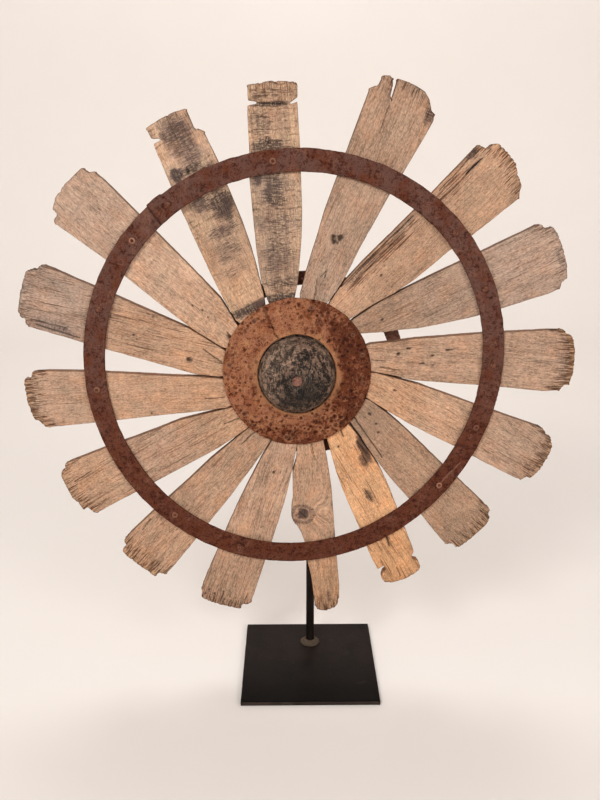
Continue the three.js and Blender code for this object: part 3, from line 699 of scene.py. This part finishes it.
def slit_cutter(turn, x0, out0, x1, out1, half):
    """A wedge through a board, half wide each way at its first end and closing to nothing at its second."""
    outwards = np.array([math.cos(turn), 0.0, math.sin(turn)])
    sideways = np.array([math.sin(turn), 0.0, -math.cos(turn)])
    outline = [(x0 - half, out0), (x0 + half, out0), (x1, out1)]
    front, rear = -40.0, 40.0
    corners = [x * sideways + out * outwards + (0.0, y, 0.0) for y in (front, rear) for x, out in outline]
    faces = [(2, 1, 0), (3, 4, 5), (1, 4, 3, 0), (2, 5, 4, 1), (0, 3, 5, 2)]
    mesh = bpy.data.meshes.new("slit")
    mesh.from_pydata([(corner + ORIGIN) * MM for corner in corners], [], faces)
    cutter = bpy.data.objects.new("slit", mesh)
    bpy.context.collection.objects.link(cutter)
    return cutter


def tip_splits(opened, board, from_tip):
    """How far each place is inside a split that has opened from the board's tip."""
    length = SPLIT_LENGTH * (1 + 0.7 * lumps(board, (4, 400, 400), 15)) * min(opened, 1.0) + 1
    return ramp(lumps(board, (1.9, 13, 30), 13, 2) + 0.3 * opened, 0.28, 0.55) * ramp(from_tip, length, 1)


def cracks_and_holes(look, board, across, out):
    """For each one in turn, how far every place sinks there and how dark it is painted: painted shade in the
    crack or hole.
    """
    wander = lumps(board, 9, 21) * 0.7
    for x0, out0, x1, out1, half in look["cracks"]:
        near = ramp(away(across + wander, out, x0, out0, x1, out1), half + 0.25, 0.1)
        yield 1.5 * near * (half + 0.2), 0.92 * near
    for x0, out0, half_width, half_length in look["holes"]:
        gap = spread(across, out, x0, out0, half_width + HOLE_EDGE, half_length + HOLE_EDGE)
        near = ramp(gap + 0.35 * lumps(board, 2.2, 22), 1.05, 0.45)
        yield 1.7 * near, 0.88 * near


def knot_marks(knot, board, across, out):
    """How far a knot pushes the grain aside, its heart, the stain of heart and ring, and the painted shade in its
    crack.
    """
    gap = spread(across, out, *knot)
    x0, out0 = knot[:2]
    push = (across - x0) * np.exp(-((gap / 1.9) ** 2)) * 1.8
    heart = ramp(gap + 0.35 * lumps(board, 4, 33, 2), 0.95, 0.5)
    ring = ramp(np.abs(gap + 0.15 * lumps(board, 6, 34) - 1.1), 0.35, 0.1)
    ray = np.abs((across - x0) * 0.8 + (out - out0) * 0.6)
    crack = 0.7 * ramp(ray, 0.9, 0.2) * ramp(gap, 0.7, 0.5)
    return push, heart, np.maximum(0.85 * heart, 0.45 * ring), crack


def make_paddle(number, look):
    """One worn board: relief along its grain, split and chipped edges, and whatever marks it has."""
    node = f"paddle_{number:02d}"
    turn = math.radians(look["angle"])
    cutter = slit_cutter(turn, *look["slit"]) if look["slit"] else None
    mesh, at, facing = even_mesh(node, PADDLE_VOXEL, rounds=1, cutter=cutter)
    out = at[:, 0] * math.cos(turn) + at[:, 2] * math.sin(turn)
    across = at[:, 0] * math.sin(turn) - at[:, 2] * math.cos(turn)
    board = np.stack([across, out, at[:, 1]], axis=1) + number * BOARD_SHIFT
    flat = flatness(facing)

    strip = np.round((across - across.min()) / STRIP).astype(int)
    reach = np.full(strip.max() + 1, NOWHERE)
    np.maximum.at(reach, strip, out)
    from_tip = reach[strip] - out
    opened = look["checks"]

    # The whole board bends a little, to the rear only, so that it never meets the hoop in front of it.
    bend = 0.6 * ramp(lumps(board, (60, 160, 60), 5), -0.8, 0.8) * ramp(out, 90, 160)
    # Its faces sink along the grain, in hollows, at saw cuts and most at the split ends.
    sink = 0.14 * ramp(lumps(board, (2.4, 30, 6), 11, 2), -0.2, 0.7)
    sink += 0.25 * ramp(lumps(board, (9, 70, 12), 12), 0.0, 0.9)
    sink += 0.2 * look["saw"] * ramp(lumps(board, (8, 1.6, 30), 14, 2), 0.0, 0.6)
    splits = tip_splits(opened, board, from_tip)
    sink += 0.7 * splits
    # Tip splits, cracks, holes and the knot's crack are painted dark: painted shade.
    dark = 0.3 * splits
    for depth, shadow in cracks_and_holes(look, board, across, out):
        sink += depth
        dark = np.maximum(dark, shadow)

    rough_edge = 0.42 * lumps(board, (6, 8, 6), 31, 3)
    stain = strongest(0.0, look["stains"], across, out, rough_edge, faded=1.35, full=0.35)
    lined = strongest(look["lined"], look["veins"], across, out, rough_edge, faded=1.3, full=0.5)
    lean = math.radians(look["lean"])
    waves = 1.6 * lumps(board, (26, 60, 40), 32, 2)
    grain = board.copy()
    grain[:, 0] = across * math.cos(lean) - out * math.sin(lean) + waves + number * GRAIN_SHIFT
    grain[:, 1] = out * math.cos(lean) + across * math.sin(lean)
    if look["knot"]:
        push, heart, knot_stain, crack = knot_marks(look["knot"], board, across, out)
        grain[:, 0] += push
        stain = np.maximum(stain, knot_stain)
        dark = np.maximum(dark, crack)
        sink += 0.5 * heart
    stain *= ramp(facing[:, 1], 0.4, -0.4) * 0.85 + 0.15  # the rear is hardly stained

    worn = 0.55 * ramp(lumps(board, (5, 11, 5), 41, 2), -0.1, 0.8) * (1 - flat)
    worn += 0.7 * splits * (1 - flat)
    outwards = facing[:, 0] * math.cos(turn) + facing[:, 2] * math.sin(turn)
    # The tip gets back what softening took off it.
    worn -= 1.1 * ramp(from_tip, 14, 5) * (1 - flat) * ramp(outwards, 0.0, 0.5)
    at = at - facing * (sink * flat + worn)[:, None]
    at[:, 1] += bend
    set_vertices(mesh, at)

    fresh = look["fresh"] * ramp(from_tip + 1.5 * lumps(board, 3, 53, 2), 6, 1.5)
    store(
        mesh, grain=grain, stain=stain, dark=dark,
        shade=np.interp(out, TONE_PLACES, np.repeat(look["shade"], 2)),
        hue=np.interp(out, TONE_PLACES, np.repeat(look["hue"], 2)),
        # Darker sides: weathered edges and painted shade.
        side=0.8 * ramp(np.abs(facing[:, 1]), 0.5, 0.2) * (1 - fresh),
        lined=lined,
        tip=min(opened, 1.0) * ramp(from_tip, 24, 0),
        fresh=fresh,
        saw=look["saw"] * ramp(lumps(board, (26, 22, 30), 52, 2), -0.35, 0.25),
    )
    slot = frame_slot(node)
    material = {"orange_wood": ORANGE_WOOD, "stained_wood": STAINED_WOOD, "weathered_wood": TAN_WOOD}[slot]
    piece(f"worn_{node}", mesh, material, "wheel", slot, node)


for number, look in enumerate(PADDLES, start=1):
    make_paddle(number, {**PLAIN_BOARD, **look})


# ---- Iron of the wheel ----

def low_down(at):
    """How far down the wheel each place is, from 0 to 1. The iron is painted redder and darker there, partly as
    painted shade, and is more scaled.
    """
    return ramp(at[:, 2], 60, -120)


def rust_fields(at, pit, pale_and_highlight, scale, deep_rust_and_shade):
    """What rust_material reads, each a number for every vertex or one for all."""
    blank = np.zeros(len(at))
    return dict(place=at, pit=blank + pit, pale_and_highlight=blank + pale_and_highlight, scale=blank + scale, deep_rust_and_shade=blank + deep_rust_and_shade)


RIM_SCRATCH = [(170, -97), (163, -106), (151, -119.5)]  # its course, across and up from the axle
RIM_LAP_END = math.radians(131)
RIM_MIDDLE = 205  # the hoop's middle radius
SEAM_ANGLE = math.radians(116.5)  # where the hub plate laps over itself
PIT_COUNT = 380
PIT_SEED = 7


def make_rim():
    """The hoop: hammered unevenly, its edges nicked, its face pitted, more scaled below and painted redder and
    darker there, partly as painted shade.
    """
    mesh, at, facing = even_mesh("rim_hoop", voxel=1.0, rounds=1)
    front = frontness(facing)
    edge = 1 - flatness(facing)
    angle, radius = round_axle(at)
    dents = 0.35 * lumps(at, 13, 61, 2) * front
    nicks = 0.55 * lumps(at, 9, 62, 2) * edge
    low = low_down(at)
    pocks = ramp(lumps(at, 3.6, 63, 2), 0.42 - 0.14 * low, 0.7)
    scratch = np.zeros(len(at))
    for (x0, z0), (x1, z1) in zip(RIM_SCRATCH[:-1], RIM_SCRATCH[1:]):
        near = ramp(away(at[:, 0] + 0.8 * lumps(at, 12, 66), at[:, 2], x0, z0, x1, z1), 1.0, 0.2)
        scratch = np.maximum(scratch, 0.8 * near * front)
    # The lap's end: a corner proud of the hoop's outer edge, a step painted dark as painted shade, and redder
    # iron beyond it.
    past = (angle - RIM_LAP_END) * radius + 0.12 * (radius - RIM_MIDDLE) + 0.5 * lumps(at, 6, 67)
    corner = ramp(past, -18, -15) * ramp(past, 1, -1) * ramp(facing @ np.array([-0.7, 0.0, 0.7]), 0.5, 0.8)
    step = ramp(np.abs(past), 1.3, 0.3) * front
    beyond = ramp(past, 0, 1.5) * ramp(past, 32, 12)
    at = at + facing * (dents + nicks + 1.3 * corner - 0.4 * pocks * front)[:, None]
    set_vertices(mesh, at)
    scale = 0.05 + 0.1 * low + 0.1 * ramp(lumps(at, 40, 65, 2), -0.2, 0.6)
    pale_and_highlight = np.maximum(scratch, 0.35 * beyond * ramp(lumps(at, 9, 68, 2), -0.3, 0.5))
    # Lower down it is painted darker and redder, partly as painted shade.
    store(mesh, **rust_fields(at, np.maximum(0.6 * pocks, 0.8 * step), pale_and_highlight, scale, 0.85 * low))
    piece("forged_rim_hoop", mesh, HOOP_IRON, "wheel", "hoop_iron", "rim_hoop")


def pit_places(random, count, inner, outer):
    """Places and radii of pits on the hub plate, most of them at its lower right, fewest at its upper left."""
    kept = []
    while len(kept) < count:
        radius = math.sqrt(random.uniform(inner**2, outer**2))
        turn = random.uniform(0, 2 * math.pi)
        likely = 0.45 - 0.4 * math.cos(turn - math.radians(145)) + 0.4 * (radius - inner) / (outer - inner)
        if random.uniform() < likely:
            kept.append((radius * math.cos(turn), radius * math.sin(turn), random.uniform(0.8, 2.5)))
    return kept


def make_hub_plate():
    """The dished plate: pits, some with raised lips, and crust on three sides; painted highlight on lips and
    round the nose; painted shade in its seam.
    """
    mesh, at, facing = even_mesh("hub_plate", voxel=0.65, rounds=1)
    front = frontness(facing)
    angle, radius = round_axle(at)
    outer = radius.max()
    inner = radius.min()
    random = np.random.default_rng(PIT_SEED)
    pit = np.zeros(len(at))
    pale_and_highlight = np.zeros(len(at))
    shape = 0.5 * lumps(at, 1.7, 74, 2) + 0.3 * lumps(at, 4, 76)
    for x, z, size in pit_places(random, PIT_COUNT, inner + 2, outer - 1):
        gap = np.hypot(at[:, 0] - x, at[:, 2] - z) / size + shape
        pit = np.maximum(pit, ramp(gap, 1.15, 0.35) * random.uniform(0.45, 1.0))
        # Raised lips round the pits, painted lighter: painted highlight.
        pale_and_highlight = np.maximum(pale_and_highlight, ramp(np.abs(gap - 1.45), 0.4, 0.05) * random.uniform(-0.9, 0.6))
    pale_and_highlight *= 1 - pit
    # Round each nail: a dark middle and a ring of painted highlight.
    for node in frame["nodes"]:
        if "hub_plate_nail" in node:
            gap = np.hypot(*(at - middle_of(node))[:, ::2].T) + 0.5 * lumps(at, 2, 77)
            pit = np.maximum(pit, 0.6 * ramp(gap, 2.5, 1.9))
            pale_and_highlight = np.maximum(pale_and_highlight, 0.6 * ramp(np.abs(gap - 3.0), 0.7, 0.2))

    def side(degrees, faded, full, near, far):
        """A side where crust has gathered: 1 that way from the middle, fading to both sides and inwards."""
        inwards = ramp(radius, inner + near, inner + far)
        return ramp(np.cos(angle - math.radians(degrees)), faded, full) * inwards

    right = side(2, 0.55, 0.95, 1, 8)
    below = side(282, 0.58, 0.97, 9, 17)
    upper = side(52, 0.72, 0.97, 7, 16)
    rim = ramp(radius, outer - 10, outer)
    spots = lumps(at, 9, 73, 3)
    scale = 0.2 + 0.68 * right + 0.34 * below + 0.36 * upper + 0.1 * rim + 0.62 * spots
    scale = np.clip(scale, 0, 1) * ramp(radius, inner + 1, inner + 6)
    # A pale ring round the nose: painted highlight.
    worn = 0.5 * ramp(radius + 4 * lumps(at, 7, 78, 2), inner + 8, inner + 1)
    edge = ramp(radius, outer - 3, outer)
    # The lap seam: a sunk groove, painted dark along its line as painted shade.
    seam = np.abs(np.mod(angle - SEAM_ANGLE + math.pi, 2 * math.pi) - math.pi) * radius
    seam += 2.2 * lumps(at, 4, 75, 2)
    shaded_groove = ramp(seam, 1.1, 0.2) * ramp(radius, inner + 22, inner + 14)
    shaded_groove = np.maximum(shaded_groove, 0.5 * ramp(seam, 1.3, 0.2))
    heave = 0.45 * lumps(at, 14, 71, 2) - 0.45 * pit + 0.25 * pale_and_highlight - 0.5 * shaded_groove
    at = at + facing * (heave * front)[:, None]
    ragged = 0.9 * lumps(at, 7, 72, 2) * edge
    at[:, 0] += ragged * np.cos(angle)
    at[:, 2] += ragged * np.sin(angle)
    set_vertices(mesh, at)
    pit = np.maximum(pit * 0.95, shaded_groove)
    pale_and_highlight = np.clip(np.maximum(pale_and_highlight * (0.85 - 0.55 * right - 0.25 * upper), worn), 0, 1)
    # Its right and lower side are painted darker: crust and painted shade.
    store(mesh, **rust_fields(at, pit, pale_and_highlight, scale, 0.4 * below + 0.55 * right))
    piece("rusted_hub_plate", mesh, PLATE_IRON, "wheel", "plate_iron", "hub_plate")


def make_back_hoop():
    """The smaller hoop behind the paddles: nicked at its edges and pitted on its rear face."""
    mesh, at, facing = even_mesh("back_hoop", voxel=1.0, rounds=2)
    nicks = 0.5 * lumps(at, 7, 81, 2) * (1 - flatness(facing))
    pocks = ramp(lumps(at, 4, 82, 2), 0.3, 0.7) * frontness(-facing)
    at = at + facing * (nicks - 0.35 * pocks)[:, None]
    set_vertices(mesh, at)
    store(mesh, **rust_fields(at, 0.7 * pocks, 0.3 * ramp(lumps(at, 11, 83), 0.2, 0.7), 0.1, 0.2))
    piece("forged_back_hoop", mesh, HOOP_IRON, "wheel", "hoop_iron", "back_hoop")


def make_small_iron(node, body, material, voxel, rough, seed, ring=0.0):
    """A fastener, rod or weld: its solid with softened, uneven faces, and maybe a painted highlight ring round
    its head.

    rough is how uneven, in millimetres. ring is how plain the ring is, from 0 to 1.
    """
    mesh, at, facing = even_mesh(node, voxel, rounds=2)
    gap = np.hypot(*(at - middle_of(node))[:, ::2].T)
    at = at + facing * (rough * lumps(at, 2.6, seed, 2))[:, None]
    hollow = 0.7 * ring * ramp(gap, 1.7, 1.0)
    at[:, 1] += 0.5 * hollow * (facing[:, 1] < 0)
    set_vertices(mesh, at)
    if material in (BLACK_STEEL, WELD_STEEL):
        store(mesh, place=at, bare=np.zeros(len(at)), lit=np.ones(len(at)))
    else:
        pocks = 0.5 * ramp(lumps(at, 1.8, seed + 1, 2), 0.35, 0.7)
        # A ring of painted highlight round the head.
        pale_and_highlight = ring * ramp(gap, 1.4, 2.0)
        # Low on the wheel it is painted darker, partly as painted shade.
        store(mesh, **rust_fields(at, np.maximum(pocks, hollow), pale_and_highlight, 0.1, 0.9 * low_down(at)))
    piece(f"worn_{node}", mesh, material, body, frame_slot(node), node)


NAVE_SIDES = 40  # the CAD nave's flat sides, which are made round here
NAVE_UNROLLED = 40  # the radius at which its turned place unrolls its angle


def make_nave():
    """The turned nave: rounded truly, ringed by the turning tool, checked and bruised."""
    mesh, at, facing = even_mesh("nave", voxel=0.9, rounds=1)
    angle, radius = round_axle(at)
    facet = 2 * math.pi / NAVE_SIDES
    from_middle = np.mod(angle, facet) - facet / 2
    truly = radius * np.cos(from_middle) / math.cos(facet / 2)
    at[:, 0] *= truly / radius
    at[:, 2] *= truly / radius
    turned = np.stack([radius, angle * NAVE_UNROLLED, at[:, 1]], axis=1)
    rings = lumps(turned, (1.6, 60, 1.6), 91, 2)
    bruise = ramp(lumps(at, 6, 92, 3), 0.12, 0.6)
    face = ramp(radius, 34, 26)
    checks = ramp(lumps(turned, (30, 2.6, 30), 93, 2), 0.42, 0.62)
    checks = checks * ramp(radius, 8, 14) * ramp(radius, 39, 30)
    at = at - facing * (0.18 * ramp(rings, -0.5, 0.6) + 0.9 * bruise * face + 0.7 * checks)[:, None]
    set_vertices(mesh, at)
    # Painted light and shade: a painted highlight on the left, painted shade at the lower right and round the
    # axle tip.
    left = ramp(at[:, 0], 12, -26)
    shaded_low_right = ramp(0.5 * at[:, 0] - at[:, 2], -12, 22) * ramp(radius, 36, 28)
    middle = ramp(np.hypot(at[:, 0] - 2, at[:, 2] + 8) + 6 * lumps(at, 9, 95, 2), 28, 12)
    by_tip = ramp(np.hypot(at[:, 0] - 8, at[:, 2] + 3), 24, 6)
    store(
        mesh, place=at, turned=turned,
        dark=np.clip(np.maximum(0.7 * checks, 0.6 * bruise * face) + 0.4 * shaded_low_right + 0.4 * middle, 0, 0.88),
        dust=np.clip(0.8 * left + 0.5 * ramp(radius, 30, 36), 0, 1) * ramp(lumps(at, 9, 94, 3), -0.5, 0.4),
        spark=np.clip(0.25 + 0.75 * by_tip + 0.2 * left, 0, 1),
    )
    piece("turned_nave", mesh, NAVE_WOOD, "wheel", "nave_wood", "nave")


# How plainly each rim rivet's head shows as a ring of painted highlight; the rest have rusted in.
RIVET_HIGHLIGHT_RINGS = {
    "rim_rivet_01": 0.5, "rim_rivet_03": 1.0, "rim_rivet_05": 0.4,
    "rim_rivet_07": 0.5, "rim_rivet_11": 0.9, "rim_rivet_12": 0.3,
}
PLATE_NAIL_HIGHLIGHT_RING = 0.4

make_rim()
make_hub_plate()
make_back_hoop()
make_nave()
fasteners = [node for node in sorted(frame["nodes"]) if "rivet" in node or "nail" in node]
for place, node in enumerate(fasteners):
    ring = PLATE_NAIL_HIGHLIGHT_RING if "hub_plate_nail" in node else RIVET_HIGHLIGHT_RINGS.get(node, 0.0)
    make_small_iron(node, "wheel", FASTENER_IRON, voxel=0.4, rough=0.28, seed=200 + 3 * place, ring=ring)
make_small_iron("thrust_washer", "wheel", FASTENER_IRON, voxel=0.5, rough=0.12, seed=500)
make_small_iron("rear_washer", "wheel", FASTENER_IRON, voxel=0.5, rough=0.12, seed=503)
make_small_iron("axle", "wheel", AXLE_IRON, voxel=0.6, rough=0.9, seed=520)
make_small_iron("cotter_pin", "wheel", AXLE_IRON, voxel=0.4, rough=0.08, seed=530)


# ---- Stand ----

make_small_iron("bearing_sleeve", "stand", BLACK_STEEL, voxel=0.6, rough=0.06, seed=600)
make_small_iron("sleeve_weld", "stand", WELD_STEEL, voxel=0.45, rough=0.35, seed=610)
make_small_iron("foot_weld", "stand", WELD_STEEL, voxel=0.8, rough=0.6, seed=620)
make_small_iron("post", "stand", BLACK_STEEL, voxel=0.8, rough=0.05, seed=630)


def make_base_plate():
    """The plate: a sawn steel square with eased edges, bare along its sides, and painted darker towards the front
    and lighter towards the rear, as painted shade and reflection.
    """
    mesh, at, facing = even_mesh("base_plate", voxel=1.2, rounds=1)
    low, high = (np.array(corner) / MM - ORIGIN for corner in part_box("base_plate"))
    to_rear = (at[:, 1] - low[1]) / (high[1] - low[1])
    side = 1 - flatness(facing, way=2)
    at = at - facing * (0.25 * ramp(lumps(at, 9, 641, 2), 0.0, 0.8) * side)[:, None]
    set_vertices(mesh, at)
    scuffs = 0.5 * ramp(lumps(at, (14, 5, 14), 642, 3), 0.45, 0.8)
    bare = np.maximum(side * (0.65 + 0.35 * lumps(at, 12, 643, 2)), scuffs * (1 - side))
    # lit: painted shade at the front, and a painted reflection that is lighter towards the rear.
    store(mesh, place=at, bare=bare, lit=0.3 + 0.95 * ramp(to_rear, -0.05, 0.75))
    piece("eased_base_plate", mesh, BLACK_STEEL, "stand", "black_steel", "base_plate")


make_base_plate()


# ---- Floor, wall and light ----

def make_stage():
    """A pale round floor that curves up into a pale wall on every side, in metres.

    The wall stands well outside the cameras of the other views.
    """
    flat_radius, floor_radius, corner, top = 1.7, 1.9, 0.9, 3.2
    sides, bends = 96, 12
    profile = [(flat_radius, 0.0)]
    for bend in range(bends + 1):
        turn = math.pi / 2 * bend / bends
        profile.append((floor_radius + corner * math.sin(turn), corner - corner * math.cos(turn)))
    profile.append((floor_radius + corner, top))
    turns = [2 * math.pi * side / sides for side in range(sides)]
    corners = [
        (radius * math.cos(turn), radius * math.sin(turn), height) for radius, height in profile for turn in turns
    ]
    faces = [tuple(range(sides))]
    for ring in range(len(profile) - 1):
        for side in range(sides):
            here, beside = ring * sides + side, ring * sides + (side + 1) % sides
            faces.append((here, here + sides, beside + sides, beside))
    mesh = bpy.data.meshes.new("stage")
    mesh.from_pydata(corners, [], faces)
    mesh.shade_smooth()
    s = Shader("stage_paint", roughness=0.9)
    place = s.tree.nodes.new("ShaderNodeTexCoord").outputs["Object"]
    cloud = s.remap(s.noise(place, 1.2), 0.3, 0.7)
    s.colour(s.blend(cloud, (0.795, 0.745, 0.705), (0.825, 0.775, 0.735)))
    mesh.materials.append(s.material)
    stage = bpy.data.objects.new("stage", mesh)
    bpy.context.collection.objects.link(stage)
    stage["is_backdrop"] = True


def add_light(name, place, target, size, watts, colour):
    """A round area light aimed from a place at a target, which the camera doesn't see."""
    data = bpy.data.lights.new(name, "AREA")
    data.shape = "DISK"
    data.size = size
    data.energy = watts
    data.color = colour
    light = bpy.data.objects.new(name, data)
    light.location = place
    aim = np.array(target) - np.array(place)
    light.rotation_euler = (math.atan2(math.hypot(aim[0], aim[1]), -aim[2]), 0, math.atan2(-aim[0], aim[1]))
    light.visible_camera = False
    bpy.context.collection.objects.link(light)


LIT_PLACE = (0, 0, 0.3)  # the middle of the object, in metres

make_stage()
add_light("key", (-0.85, -1.6, 1.5), LIT_PLACE, size=0.8, watts=26.5, colour=(1.0, 1.0, 0.985))
add_light("fill", (1.3, -1.6, 1.2), LIT_PLACE, size=1.0, watts=17.5, colour=(1.0, 0.99, 0.985))
add_light("wall", (0, 1.1, 2.3), (0, 2.1, 0.2), size=1.6, watts=28, colour=(1.0, 0.985, 0.98))
world = bpy.data.worlds.new("studio")
world.use_nodes = True
background = world.node_tree.nodes["Background"]
background.inputs["Color"].default_value = (1.0, 0.985, 0.975, 1.0)
background.inputs["Strength"].default_value = 0.32
bpy.context.scene.world = world
bpy.context.scene.view_settings.view_transform = "Standard"

boxes = {"cad": CAD_BOX, "visual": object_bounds()}
{name: [list(corner) for corner in box] for name, box in boxes.items()}
